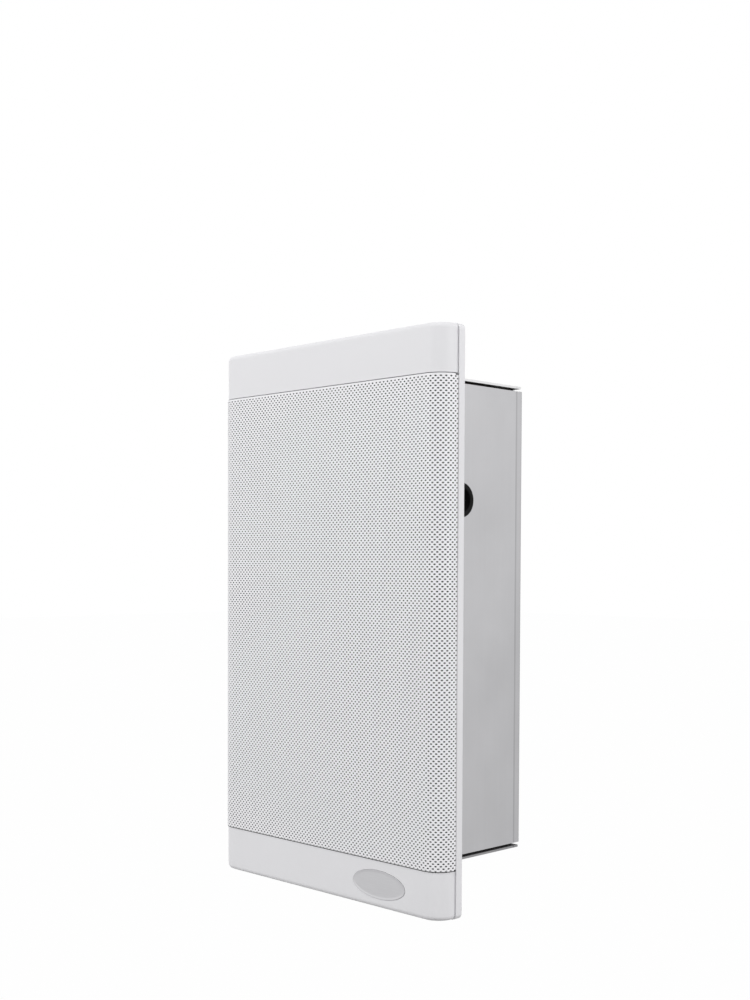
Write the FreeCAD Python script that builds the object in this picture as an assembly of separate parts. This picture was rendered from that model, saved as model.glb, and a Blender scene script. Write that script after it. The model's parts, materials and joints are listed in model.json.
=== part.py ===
"""Flush wall speaker: moulded front with a punched grille, and a folded steel tray that sits in the wall.

Millimetres. X runs to the right, Y runs into the wall and Z runs up. The origin is the middle of the
flange's rear face, so the wall plane is y = 0 and the front of the speaker looks along -Y.
"""
import FreeCAD, Part

import math
import os

V = FreeCAD.Vector
TINY = 0.01                # tolerance for finding an edge by its place

# Front moulding
FRONT_W = 178.0
FRONT_H = 301.4
FLANGE_T = 4.5
FLANGE_CORNER_R = 3.0
SIDE_STRAIGHT = 0.5        # upright part of the bands' sides, before their round
SIDE_R = 11.0              # round between the bands' sides and the flat front
BAND_H = 25.0
BAND_STEP = 1.0            # flange edge to the bands' sides
BAND_EDGE_R = 2.8          # round of the bands' outer ends
MOULD_WALL = 2.5
RIB_T = 1.5
RIB_PITCH = 42.0
GROOVE_W = 0.6             # shadow line beside the bands
GROOVE_D = 0.8
LOCATOR_T = 2.0            # upright ribs that centre the front in the tray
LOCATOR_H = 6.0
LOCATOR_L = 150.0
LOCATOR_CLEAR = 0.5

# Grille, its cloth and the badge
GRILLE_T = 1.0
GRILLE_PROUD = 0.5
GRILLE_SEAM = 0.4
GRILLE_LIP = 5.0
NOTCH_H = 1.2              # corner cut where the sheet meets the flange
NOTCH_D = 3.0
HOLE_PITCH_X = 19.0        # each opening stands for a patch of the fine punching
HOLE_PITCH_Z = 16.0
HOLE_W = 9.0
CLOTH_T = 0.6
GLUE = 0.1
BADGE_W = 38.4
BADGE_H = 15.0
BADGE_EDGE = 44.2          # front's right edge to the middle of the badge
BADGE_T = 0.9
BADGE_SEAT = 0.6
BADGE_CLEAR = 0.15

# Folded tray
SIDE_OVERLAP = 22.5        # how far the flange covers the wall beside the tray
END_OVERLAP = 22.9         # and above and below it
TRAY_SEAT = 0.8            # rebate behind the flange that takes the tray's front edge
TRAY_CLEAR = 0.3
TRAY_DEPTH = 74.3
SHEET = 1.2
BEND_R = 1.0               # inside the rear folds
SEAM = 1.0                 # open gap between a side wall and the top or bottom wall
CORNER_RELIEF = 6.2        # length left unfolded at each end of the top and bottom folds
LUG_X = 48.0
LUG_W = 16.0
LUG_L = 18.0
LUG_HOLE_DROP = 11.0
LUG_BEND_R = 1.0
WALL_HOLE_X = 52.0
WALL_HOLE_Z = 108.0
WALL_HOLE_R = 2.6

# Cable grommet in the right wall
GROMMET_Y = 22.0
GROMMET_Z = 63.7
GROMMET_R = 9.2
GROMMET_BORE_R = 5.3
GROMMET_NECK_R = 7.4
GROMMET_LIP = 1.6
RUBBER_CLEAR = 0.1

# Screws
SCREW_R = 2.0
SCREW_HEAD_W = 6.4
SCREW_HEAD_H = 2.4
SCREW_TIP = 4.0
HOLE_CLEAR = 0.25
THREAD_CLEAR = 0.05

# Cone driver
DRIVER_Z = -32.0
BASKET_R = 53.0
BASKET_T = 1.0
BASKET_DEPTH = 30.0
RIM_W = 10.0
RIM_LIP = 2.0              # part of the rim inside the arms, which carries the cone's edge
RIM_SEAT = 1.5             # rebate in the baffle
RIM_CLEAR = 0.4
ARMS = 4
ARM_W = 18.0
ARM_T = 1.6
LEDGE_R = 37.0             # step of the basket's floor that carries the spider
LEDGE_RISE = 7.0
FLOOR_R = 30.0
EDGE_W = 6.0
EDGE_CLOTH_T = 0.5         # thickness of the pleated edge and of the spider
PLEAT_W = 5.0
PLEAT_H = 2.0
EDGE_LIP = 2.5
CONE_DEPTH = 17.0
CONE_T = 0.9               # measured along the axis
COIL_R = 12.7
COIL_FORMER_T = 0.3
COIL_WIRE_T = 0.6
COIL_WIRE_L = 9.0
POLE_CLEAR = 0.5
GAP_CLEAR = 0.7
CAP_T = 1.5
PLATE_T = 5.0
MAGNET_R = 35.0
MAGNET_T = 12.0
MAGNET_HOLE_R = 17.0
YOKE_R = 33.0
TAG_BOARD_W = 18.0
TAG_BOARD_L = 9.0
TAG_BOARD_T = 1.5
TAG_W = 4.0
TAG_T = 0.8
TAG_L = 9.0
TAG_PITCH = 9.0

# Line transformer
TRANSFORMER_X = -20.0
TRANSFORMER_DROP = 42.5    # tray's top to the middle of the core
CORE_W = 48.0
CORE_D = 40.0
CORE_STACK = 18.0
CORE_LEG = 8.0
WINDING_WALL = 7.0
WINDING_ROUND = 2.5
CORE_CLEAR = 0.3
STRAP_T = 1.0
STRAP_W = 14.0
STRAP_FOOT = 11.0

# Terminal block and damping pad
BLOCK_X = 34.0
BLOCK_DROP = 71.5          # tray's top to the middle of the block
BLOCK_H = 18.0
BLOCK_D = 16.0
POLE_PITCH = 12.0
POLES = 3
WIRE_HOLE_W = 3.4
CLAMP_HEAD_W = 4.0
CLAMP_HEAD_H = 1.2
CLAMP_OFFSET = 6.0
PAD_T = 8.0
PAD_MARGIN = 5.0
PAD_DROP = 11.3            # terminal block to the top of the pad
PAD_NOTCH = 18.0

# Places worked out from the sizes above
front_y = -(FLANGE_T + SIDE_STRAIGHT + SIDE_R)
band_x = FRONT_W / 2 - BAND_STEP
band_z = FRONT_H / 2 - BAND_H
badge_x = FRONT_W / 2 - BADGE_EDGE
badge_z = -(FRONT_H - BAND_H) / 2
grille_x = band_x + GRILLE_PROUD
grille_y = front_y - GRILLE_PROUD
grille_z = band_z - GRILLE_SEAM
grille_r = SIDE_R + GRILLE_PROUD
groove_y = -(FLANGE_T - GROOVE_D)
tray_x = FRONT_W / 2 - SIDE_OVERLAP
tray_z = FRONT_H / 2 - END_OVERLAP
tray_y = -TRAY_SEAT
panel_y = TRAY_DEPTH - SHEET
lug_z = tray_z - LUG_HOLE_DROP
rim_r = BASKET_R + RIM_W
seat_y = -(FLANGE_T - RIM_SEAT)
rim_y = seat_y - BASKET_T
floor_y = seat_y + BASKET_DEPTH
screw_ring_r = rim_r - SCREW_HEAD_W / 2 - HOLE_CLEAR
edge_out_r = screw_ring_r - SCREW_HEAD_W / math.sqrt(3) - HOLE_CLEAR
edge_r = edge_out_r - EDGE_W
cone_r = edge_r - PLEAT_W
ledge_y = floor_y - LEDGE_RISE
arm_r = math.sqrt(BASKET_R ** 2 - (ARM_W / 2) ** 2)
former_r = COIL_R + COIL_FORMER_T
neck_r = former_r + GLUE
neck_y = rim_y + CONE_DEPTH
coil_y = floor_y + (PLATE_T - COIL_WIRE_L) / 2
coil_end_y = coil_y + COIL_WIRE_L
tag_y = ledge_y + BASKET_T
tag_z = DRIVER_Z + LEDGE_R + TAG_BOARD_L / 2
transformer_z = tray_z - TRANSFORMER_DROP
block_z = tray_z - BLOCK_DROP
pad_z = block_z - BLOCK_H / 2 - PAD_DROP
block_w = POLES * POLE_PITCH + POLE_PITCH / 3


def block(x0, x1, y0, y1, z0, z1):
    """Box between two corners."""
    return Part.makeBox(x1 - x0, y1 - y0, z1 - z0, V(x0, y0, z0))


def rod(radius, y0, y1, x, z):
    """Cylinder along Y."""
    return Part.makeCylinder(radius, y1 - y0, V(x, y0, z), V(0, 1, 0))


def turned(points, x=0.0, z=0.0):
    """Solid turned about the line along Y through (x, z), from a closed outline of (radius, y) points."""
    corners = [V(x + r, y, z) for r, y in points]
    face = Part.Face(Part.makePolygon(corners + corners[:1]))
    return face.revolve(V(x, 0, z), V(0, 1, 0), 360)


def ring(outer_r, inner_r, y0, y1, x=0.0, z=0.0):
    """Flat ring along Y."""
    return turned([(outer_r, y0), (outer_r, y1), (inner_r, y1), (inner_r, y0)], x, z)


def arch(half_w, y_back, y_front, edge_round, z0, z1):
    """Upright bar with a flat front and two rounded front edges."""
    shoulder = y_front + edge_round
    bow = edge_round * (1 - math.sqrt(0.5))
    left = V(-half_w, shoulder, z0)
    right = V(half_w, shoulder, z0)
    front_left = V(-half_w + edge_round, y_front, z0)
    front_right = V(half_w - edge_round, y_front, z0)
    edges = [
        Part.makeLine(V(-half_w, y_back, z0), left),
        Part.Arc(left, V(-half_w + bow, y_front + bow, z0), front_left).toShape(),
        Part.makeLine(front_left, front_right),
        Part.Arc(front_right, V(half_w - bow, y_front + bow, z0), right).toShape(),
        Part.makeLine(right, V(half_w, y_back, z0)),
        Part.makeLine(V(half_w, y_back, z0), V(-half_w, y_back, z0)),
    ]
    return Part.Face(Part.Wire(edges)).extrude(V(0, 0, z1 - z0))


def edges_along(shape, axis):
    """Straight edges of a shape that run along an axis."""
    straight = [e for e in shape.Edges if len(e.Vertexes) == 2]
    return [e for e in straight if abs(e.tangentAt(e.FirstParameter).dot(axis)) > 0.999]


def fold(corner, to_a, to_b, len_a, len_b, inside_r, sheet, run):
    """Sheet folded square, as long as run: its outer faces go from the corner along to_a and to_b."""
    outside_r = inside_r + sheet
    middle = to_a + to_b
    a_end, b_end = corner + to_a * len_a, corner + to_b * len_b
    a_out, b_out = corner + to_a * outside_r, corner + to_b * outside_r
    a_in, b_in = a_out + to_b * sheet, b_out + to_a * sheet
    out_bow = corner + middle * (outside_r * (1 - math.sqrt(0.5)))
    in_bow = corner + middle * (outside_r - inside_r * math.sqrt(0.5))
    edges = [
        Part.makeLine(a_end, a_out),
        Part.Arc(a_out, out_bow, b_out).toShape(),
        Part.makeLine(b_out, b_end),
        Part.makeLine(b_end, b_end + to_a * sheet),
        Part.makeLine(b_end + to_a * sheet, b_in),
        Part.Arc(b_in, in_bow, a_in).toShape(),
        Part.makeLine(a_in, a_end + to_b * sheet),
        Part.makeLine(a_end + to_b * sheet, a_end),
    ]
    return Part.Face(Part.Wire(edges)).extrude(run)


def ellipse_plate(width, height, y0, y1, x, z):
    """Upright oval plate."""
    oval = Part.Ellipse(V(0, 0, 0), width / 2, height / 2).toShape()
    face = Part.Face(Part.Wire([oval]))
    face.rotate(V(0, 0, 0), V(1, 0, 0), 90)
    face.translate(V(x, y0, z))
    return face.extrude(V(0, y1 - y0, 0))


def hexagon(width, y0, y1, x, z):
    """Six-sided prism along Y, with two of its flats facing left and right."""
    corner_r = width / math.sqrt(3)
    angles = [math.radians(30 + 60 * k) for k in range(7)]
    corners = [V(x + corner_r * math.cos(a), y0, z + corner_r * math.sin(a)) for a in angles]
    return Part.Face(Part.makePolygon(corners)).extrude(V(0, y1 - y0, 0))


def joined(shapes):
    """One solid from shapes that meet."""
    return shapes[0].multiFuse(shapes[1:]).removeSplitter()


def hex_screw(length, x, z, head_y):
    """Screw pointing into the wall, its six-sided head seated at head_y."""
    head = hexagon(SCREW_HEAD_W, head_y - SCREW_HEAD_H, head_y, x, z)
    return head.fuse(rod(SCREW_R, head_y, head_y + length, x, z))


def driver_screw_places():
    """Middles of the four screws on the driver's rim."""
    reach = screw_ring_r * math.sqrt(0.5)
    return [(sx * reach, DRIVER_Z + sz * reach) for sx in (-1, 1) for sz in (-1, 1)]


def lug_places():
    """Middles of the four screws that hold the front to the tray."""
    return [(sx * LUG_X, sz * lug_z) for sx in (-1, 1) for sz in (-1, 1)]


def wall_hole_places():
    """Middles of the four holes for fixing the tray to the wall."""
    return [(sx * WALL_HOLE_X, sz * WALL_HOLE_Z) for sx in (-1, 1) for sz in (-1, 1)]


def outline(y0, y1):
    """Block as large as the flange, with its rounded corners."""
    body = block(-FRONT_W / 2, FRONT_W / 2, y0, y1, -FRONT_H / 2, FRONT_H / 2)
    return body.makeFillet(FLANGE_CORNER_R, edges_along(body, V(0, 1, 0)))


def upper_band():
    """Raised band of the front, solid, its outer end rounded and within the flange's corners."""
    end_z = FRONT_H / 2
    bar = arch(band_x, 0, front_y, SIDE_R, band_z, end_z)
    end_edges = [e for e in bar.Edges if e.BoundBox.ZMin > end_z - TINY and e.BoundBox.YMin < -TINY]
    return bar.makeFillet(BAND_EDGE_R, end_edges).common(outline(front_y, 0))


def upper_pocket():
    """Hollow behind the upper band, open at the rear and crossed by ribs."""
    half_w = band_x - MOULD_WALL
    end_z = FRONT_H / 2
    low = max(band_z + MOULD_WALL, tray_z + TRAY_CLEAR + RIB_T)
    pocket = arch(half_w, MOULD_WALL, front_y + MOULD_WALL, SIDE_R - MOULD_WALL, low, end_z - MOULD_WALL)
    count = int(half_w / RIB_PITCH)
    ribs = [
        block(k * RIB_PITCH - RIB_T / 2, k * RIB_PITCH + RIB_T / 2, front_y, 0, band_z, end_z)
        for k in range(-count, count + 1)
    ]
    return pocket.cut(Part.makeCompound(ribs))


def both_ends(shape):
    """A shape at the top and its mirror image at the bottom."""
    return [shape, shape.mirror(V(0, 0, 0), V(0, 0, 1))]


def front_frame():
    """One moulding: flange and baffle, hollow ribbed bands, and locating ribs."""
    plate = outline(-FLANGE_T, 0)
    cuts = []
    for side in (-1, 1):
        inner, outer = sorted((side * (grille_x - GRILLE_T - GROOVE_W), side * (band_x + GROOVE_W)))
        cuts.append(block(inner, outer, -FLANGE_T, groove_y, -FRONT_H / 2, FRONT_H / 2))
    plate = plate.cut(Part.makeCompound(cuts))
    bands = both_ends(upper_band())
    locators = []
    for side in (-1, 1):
        outer = side * (tray_x - SHEET - LOCATOR_CLEAR)
        inner, outer = sorted((outer - side * LOCATOR_T, outer))
        locators.append(block(inner, outer, -FLANGE_T / 2, LOCATOR_H, -LOCATOR_L / 2, LOCATOR_L / 2))
    body = joined([plate] + bands + locators)

    cuts = both_ends(upper_pocket())
    seat_x, seat_z = tray_x + TRAY_CLEAR, tray_z + TRAY_CLEAR
    rebate = block(-seat_x, seat_x, tray_y, 0, -seat_z, seat_z)
    cuts.append(rebate.cut(Part.makeCompound(locators)))
    cuts.append(rod(rim_r + RIM_CLEAR, -FLANGE_T, seat_y, 0, DRIVER_Z))
    cuts.append(rod(BASKET_R + RIM_CLEAR, seat_y, MOULD_WALL, 0, DRIVER_Z))
    cuts += [rod(SCREW_R + THREAD_CLEAR, seat_y, 0, x, z) for x, z in driver_screw_places()]
    cuts += [rod(SCREW_R + HOLE_CLEAR, -FLANGE_T, 0, x, z) for x, z in lug_places()]
    seat_w, seat_h = BADGE_W + 2 * BADGE_CLEAR, BADGE_H + 2 * BADGE_CLEAR
    cuts.append(ellipse_plate(seat_w, seat_h, front_y, front_y + BADGE_SEAT, badge_x, badge_z))
    return body.cut(Part.makeCompound(cuts))


def grille():
    """Sheet bent over the front at both sides, with turned-back ends and staggered openings."""
    inner_r = grille_r - GRILLE_T
    half_w = grille_x - GRILLE_T
    sheet = arch(grille_x, groove_y, grille_y, grille_r, -grille_z, grille_z)
    hollow = arch(half_w, groove_y, grille_y + GRILLE_T, inner_r, -grille_z, grille_z)
    flat_x = grille_x - grille_r
    lips = [
        block(-flat_x, flat_x, grille_y, grille_y + GRILLE_T + GRILLE_LIP, z, z + GRILLE_T)
        for z in (-grille_z, grille_z - GRILLE_T)
    ]
    sheet = joined([sheet.cut(hollow)] + lips)
    cuts = []
    for sx in (-1, 1):
        for sz in (-1, 1):
            x0, x1 = sorted((sx * (half_w - GRILLE_T), sx * FRONT_W / 2))
            z0, z1 = sorted((sz * (grille_z - NOTCH_H), sz * grille_z))
            cuts.append(block(x0, x1, groove_y - NOTCH_D, groove_y, z0, z1))
    return sheet.cut(Part.makeCompound(cuts + grille_openings(flat_x)))


def grille_openings(flat_x):
    """Staggered six-sided openings over the flat of the grille."""
    rows = int(2 * (grille_z - HOLE_W) / HOLE_PITCH_Z) + 1
    wide = int((2 * flat_x - HOLE_W) / HOLE_PITCH_X) + 1
    openings = []
    for row in range(rows):
        count = wide - row % 2
        z = (row - (rows - 1) / 2) * HOLE_PITCH_Z
        for column in range(count):
            x = (column - (count - 1) / 2) * HOLE_PITCH_X
            openings.append(hexagon(HOLE_W, grille_y, grille_y + GRILLE_T, x, z))
    return openings


def grille_cloth():
    """Dark cloth glued inside the grille."""
    half_w = grille_x - GRILLE_T - GLUE
    y_front = grille_y + GRILLE_T + GLUE
    edge_round = grille_r - GRILLE_T - GLUE
    half_h = grille_z - GRILLE_T - GLUE
    cloth = arch(half_w, -FLANGE_T, y_front, edge_round, -half_h, half_h)
    hollow = arch(half_w - CLOTH_T, -FLANGE_T, y_front + CLOTH_T, edge_round - CLOTH_T, -half_h, half_h)
    return cloth.cut(hollow)


def badge():
    """Bare oval plate in its seat on the lower band."""
    seat = front_y + BADGE_SEAT
    return ellipse_plate(BADGE_W, BADGE_H, seat - BADGE_T, seat, badge_x, badge_z)


def back_box():
    """Tray folded from one sheet: rear panel, four walls with open corner seams, and four front lugs."""
    bend = BEND_R + SHEET
    arm = bend + SHEET
    x_in, z_in, y_in = tray_x - bend, tray_z - bend, TRAY_DEPTH - bend
    wall_z = tray_z - SHEET - SEAM
    flap_x = tray_x - CORNER_RELIEF
    forward = V(0, -1, 0)
    pieces = [
        block(-x_in, x_in, panel_y, TRAY_DEPTH, -wall_z, wall_z),
        block(-flap_x, flap_x, panel_y, TRAY_DEPTH, -z_in, z_in),
    ]
    for side in (-1, 1):
        inward, down = V(-side, 0, 0), V(0, 0, -side)
        wall = V(side * tray_x, TRAY_DEPTH, -wall_z)
        pieces.append(fold(wall, forward, inward, arm, arm, BEND_R, SHEET, V(0, 0, 2 * wall_z)))
        x0, x1 = sorted((side * (tray_x - SHEET), side * tray_x))
        pieces.append(block(x0, x1, tray_y, y_in, -wall_z, wall_z))
        flap = V(-flap_x, TRAY_DEPTH, side * tray_z)
        pieces.append(fold(flap, forward, down, arm, arm, BEND_R, SHEET, V(2 * flap_x, 0, 0)))
        z0, z1 = sorted((side * (tray_z - SHEET), side * tray_z))
        pieces.append(block(-tray_x, tray_x, tray_y, y_in, z0, z1))
    tray = joined(pieces)

    lug_bend = LUG_BEND_R + SHEET
    openings = []
    lugs = []
    for x, z in lug_places():
        side = math.copysign(1, z)
        z0, z1 = sorted((side * (tray_z - SHEET), side * tray_z))
        openings.append(block(x - LUG_W / 2, x + LUG_W / 2, tray_y, tray_y + lug_bend, z0, z1))
        corner = V(x - LUG_W / 2, tray_y, side * tray_z)
        lugs.append(fold(
            corner, V(0, 1, 0), V(0, 0, -side), lug_bend + SHEET, LUG_L, LUG_BEND_R, SHEET, V(LUG_W, 0, 0)))
    tray = joined([tray.cut(Part.makeCompound(openings))] + lugs)

    holes = [rod(SCREW_R + THREAD_CLEAR, tray_y, tray_y + SHEET, x, z) for x, z in lug_places()]
    holes += [rod(WALL_HOLE_R, panel_y, TRAY_DEPTH, x, z) for x, z in wall_hole_places()]
    holes.append(Part.makeCylinder(
        GROMMET_NECK_R + RUBBER_CLEAR, 2 * SHEET, V(tray_x - 1.5 * SHEET, GROMMET_Y, GROMMET_Z), V(1, 0, 0)))
    return tray.cut(Part.makeCompound(holes))


def cable_grommet():
    """Rubber ring with a groove that grips the edge of the hole in the right wall."""
    out = GROMMET_LIP + RUBBER_CLEAR
    into = SHEET + GROMMET_LIP + RUBBER_CLEAR
    collar = turned([
        (GROMMET_BORE_R, -into),
        (GROMMET_R, -into),
        (GROMMET_R, -SHEET - RUBBER_CLEAR),
        (GROMMET_NECK_R, -SHEET - RUBBER_CLEAR),
        (GROMMET_NECK_R, RUBBER_CLEAR),
        (GROMMET_R, RUBBER_CLEAR),
        (GROMMET_R, out),
        (GROMMET_BORE_R, out),
    ])
    collar.rotate(V(0, 0, 0), V(0, 0, 1), -90)
    collar.translate(V(tray_x, GROMMET_Y, GROMMET_Z))
    return collar


def frame_screws():
    """Four screws through the front into the tapped lugs."""
    length = FLANGE_T + SHEET + SCREW_TIP
    return Part.makeCompound([hex_screw(length, x, z, -FLANGE_T) for x, z in lug_places()])


def driver_basket():
    """Pressed steel basket: rim, stepped floor, open arms between them and a tab for the terminal board."""
    hole_r = former_r + COIL_WIRE_T + 2 * GAP_CLEAR
    rim = ring(rim_r, BASKET_R - RIM_LIP, rim_y, seat_y, 0, DRIVER_Z)
    floor = turned([
        (LEDGE_R, ledge_y),
        (FLOOR_R - BASKET_T, ledge_y),
        (FLOOR_R - BASKET_T, floor_y - BASKET_T),
        (hole_r, floor_y - BASKET_T),
        (hole_r, floor_y),
        (FLOOR_R, floor_y),
        (FLOOR_R, ledge_y + BASKET_T),
        (LEDGE_R, ledge_y + BASKET_T),
    ], 0, DRIVER_Z)
    arm_side = [
        V(r, y, DRIVER_Z - ARM_W / 2)
        for r, y in (
            (arm_r - ARM_T, rim_y),
            (arm_r, rim_y),
            (arm_r, seat_y),
            (LEDGE_R - BASKET_T, ledge_y + BASKET_T),
            (LEDGE_R - BASKET_T - ARM_T, ledge_y + BASKET_T),
            (arm_r - ARM_T, seat_y),
        )
    ]
    arm = Part.Face(Part.makePolygon(arm_side + arm_side[:1])).extrude(V(0, 0, ARM_W))
    arms = []
    for k in range(ARMS):
        copy = arm.copy()
        copy.rotate(V(0, 0, DRIVER_Z), V(0, 1, 0), (k + 0.5) * 360 / ARMS)
        arms.append(copy)
    tab = block(-TAG_BOARD_W / 2, TAG_BOARD_W / 2, ledge_y, tag_y,
                DRIVER_Z + LEDGE_R - ARM_T, DRIVER_Z + LEDGE_R + TAG_BOARD_L)
    holes = [rod(SCREW_R + HOLE_CLEAR, rim_y, seat_y, x, z) for x, z in driver_screw_places()]
    return joined([rim, floor, tab] + arms).cut(Part.makeCompound(holes))


def pleated(front, thickness, x, z):
    """Thin turned sheet from its front line, given as (radius, y) points from outside to inside."""
    back = [(r, y + thickness) for r, y in reversed(front)]
    return turned(front + back, x, z)


def driver_surround():
    """Pleated cloth edge between the rim and the cone."""
    flat_y = rim_y - EDGE_CLOTH_T
    return pleated([
        (edge_out_r, flat_y),
        (edge_r, flat_y),
        (edge_r - PLEAT_W / 2, flat_y - PLEAT_H),
        (cone_r, flat_y),
        (cone_r - EDGE_LIP, flat_y),
    ], EDGE_CLOTH_T, 0, DRIVER_Z)


def driver_cone():
    """Paper cone with a flat lip under the pleated edge."""
    return pleated([
        (cone_r, rim_y),
        (cone_r - EDGE_LIP, rim_y),
        (neck_r, neck_y),
    ], CONE_T, 0, DRIVER_Z)


def driver_dust_cap():
    """Felt disc over the front end of the coil former."""
    return rod(former_r, neck_y - CAP_T, neck_y, 0, DRIVER_Z)


def driver_voice_coil():
    """Coil former with its winding at the rear end."""
    wire_r = former_r + COIL_WIRE_T
    return turned([
        (COIL_R, neck_y),
        (former_r, neck_y),
        (former_r, coil_y),
        (wire_r, coil_y),
        (wire_r, coil_end_y),
        (COIL_R, coil_end_y),
    ], 0, DRIVER_Z)


def driver_spider():
    """Cloth disc that centres the coil, glued to the ledge of the basket."""
    outer_r = LEDGE_R - BASKET_T - ARM_T - RIM_CLEAR
    return ring(outer_r, neck_r, ledge_y - EDGE_CLOTH_T, ledge_y, 0, DRIVER_Z)


def driver_top_plate():
    """Front steel ring of the motor."""
    gap_r = former_r + COIL_WIRE_T + GAP_CLEAR
    return ring(YOKE_R, gap_r, floor_y, floor_y + PLATE_T, 0, DRIVER_Z)


def driver_magnet():
    """Ferrite ring."""
    return ring(MAGNET_R, MAGNET_HOLE_R, floor_y + PLATE_T, floor_y + PLATE_T + MAGNET_T, 0, DRIVER_Z)


def driver_pole_yoke():
    """Rear plate and pole in one turned piece."""
    plate_y = floor_y + PLATE_T + MAGNET_T
    pole_r = COIL_R - POLE_CLEAR
    return turned([
        (0, floor_y),
        (pole_r, floor_y),
        (pole_r, plate_y),
        (YOKE_R, plate_y),
        (YOKE_R, plate_y + PLATE_T),
        (0, plate_y + PLATE_T),
    ], 0, DRIVER_Z)


def driver_terminal_board():
    """Small insulating board on the basket's tab."""
    half_w, half_l = TAG_BOARD_W / 2, TAG_BOARD_L / 2
    return block(-half_w, half_w, tag_y, tag_y + TAG_BOARD_T, tag_z - half_l, tag_z + half_l)


def driver_terminal_tags():
    """Two solder tags on the board."""
    y0 = tag_y + TAG_BOARD_T
    tags = []
    for side in (-1, 1):
        x = side * TAG_PITCH / 2
        tags.append(block(x - TAG_W / 2, x + TAG_W / 2, y0, y0 + TAG_T, tag_z, tag_z + TAG_L))
    return Part.makeCompound(tags)


def driver_screws():
    """Four screws through the rim into the baffle."""
    length = SCREW_TIP - rim_y
    return Part.makeCompound([hex_screw(length, x, z, rim_y) for x, z in driver_screw_places()])


def transformer_core():
    """Stack of plates with two windows, standing on the rear panel."""
    half_w, half_z = CORE_W / 2, CORE_STACK / 2
    y0 = panel_y - CORE_D
    core = block(-half_w, half_w, y0, panel_y, -half_z, half_z)
    windows = [
        block(min(a, b), max(a, b), y0 + CORE_LEG, panel_y - CORE_LEG, -half_z, half_z)
        for a, b in ((CORE_LEG, half_w - CORE_LEG), (-CORE_LEG, CORE_LEG - half_w))
    ]
    core = core.cut(Part.makeCompound(windows))
    core.translate(V(TRANSFORMER_X, 0, transformer_z))
    return core


def transformer_winding():
    """Wound bobbin round the middle leg of the core."""
    y0 = panel_y - CORE_D + CORE_LEG + CORE_CLEAR
    y1 = panel_y - CORE_LEG - CORE_CLEAR
    outer_x = CORE_W / 2 - CORE_LEG - CORE_CLEAR
    outer_z = CORE_STACK / 2 + WINDING_WALL
    inner_x = CORE_LEG + CORE_CLEAR
    inner_z = CORE_STACK / 2 + CORE_CLEAR
    winding = block(-outer_x, outer_x, y0, y1, -outer_z, outer_z)
    winding = winding.makeFillet(WINDING_ROUND, edges_along(winding, V(0, 1, 0)))
    winding = winding.cut(block(-inner_x, inner_x, y0, y1, -inner_z, inner_z))
    winding.translate(V(TRANSFORMER_X, 0, transformer_z))
    return winding


def transformer_bracket():
    """Strap over the core, folded from one strip, with a foot at each side for spot welds."""
    top_y = panel_y - CORE_D - STRAP_T
    half_w = CORE_W / 2
    foot_end = half_w + STRAP_T + STRAP_FOOT
    half_z = STRAP_W / 2
    strap = joined([
        block(-half_w - STRAP_T, half_w + STRAP_T, top_y, top_y + STRAP_T, -half_z, half_z),
        block(-half_w - STRAP_T, -half_w, top_y, panel_y, -half_z, half_z),
        block(half_w, half_w + STRAP_T, top_y, panel_y, -half_z, half_z),
        block(-foot_end, -half_w, panel_y - STRAP_T, panel_y, -half_z, half_z),
        block(half_w, foot_end, panel_y - STRAP_T, panel_y, -half_z, half_z),
    ])
    strap.translate(V(TRANSFORMER_X, 0, transformer_z))
    return strap


def pole_places():
    """Middle of each pole of the terminal block along X."""
    return [BLOCK_X + (k - (POLES - 1) / 2) * POLE_PITCH for k in range(POLES)]


def terminal_block():
    """Ceramic block bonded to the rear panel, with a square wire way through each pole."""
    y0 = panel_y - BLOCK_D
    middle_y = panel_y - BLOCK_D / 2
    half_way = WIRE_HOLE_W / 2
    z0, z1 = block_z - BLOCK_H / 2, block_z + BLOCK_H / 2
    body = block(BLOCK_X - block_w / 2, BLOCK_X + block_w / 2, y0, panel_y, z0, z1)
    ways = [
        block(x - half_way, x + half_way, middle_y - half_way, middle_y + half_way, z0, z1)
        for x in pole_places()
    ]
    return body.cut(Part.makeCompound(ways))


def terminal_screws():
    """Six-sided heads of the clamp screws, two for each pole."""
    y1 = panel_y - BLOCK_D
    return Part.makeCompound([
        hexagon(CLAMP_HEAD_W, y1 - CLAMP_HEAD_H, y1, x, block_z + side * CLAMP_OFFSET)
        for x in pole_places()
        for side in (-1, 1)
    ])


def damping_pad():
    """Wadding on the rear panel behind the driver, cut away round the wall screws."""
    half_w = tray_x - SHEET - PAD_MARGIN
    low = -(tray_z - SHEET - PAD_MARGIN)
    half = PAD_NOTCH / 2
    pad = block(-half_w, half_w, panel_y - PAD_T, panel_y, low, pad_z)
    notches = [
        block(x - half, x + half, panel_y - PAD_T, panel_y, z - half, z + half)
        for x, z in wall_hole_places()
        if z < 0
    ]
    return pad.cut(Part.makeCompound(notches))


PIECES = [
    front_frame,
    grille,
    grille_cloth,
    badge,
    back_box,
    cable_grommet,
    frame_screws,
    driver_basket,
    driver_surround,
    driver_cone,
    driver_dust_cap,
    driver_voice_coil,
    driver_spider,
    driver_top_plate,
    driver_magnet,
    driver_pole_yoke,
    driver_terminal_board,
    driver_terminal_tags,
    driver_screws,
    transformer_core,
    transformer_winding,
    transformer_bracket,
    terminal_block,
    terminal_screws,
    damping_pad,
]


def main():
    os.makedirs("parts", exist_ok=True)
    for piece in PIECES:
        shape = piece()
        shape.exportStep(os.path.join("parts", piece.__name__ + ".step"))
        print(piece.__name__, len(shape.Solids), round(shape.Volume, 1), shape.isValid())


main()
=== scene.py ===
# %% [markdown]
# # Dressing a flush wall speaker
# The part comes from a CAD program as a set of exact solids. This lesson loads them as a frame that stays
# where it is, gives each one a finish, and models by hand what the solids only hint at: the fine punching
# of the grille, the cloth behind it, the rubber ring and the soft edges of the moulding.

# %% Load the frame
import json
import math

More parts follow.
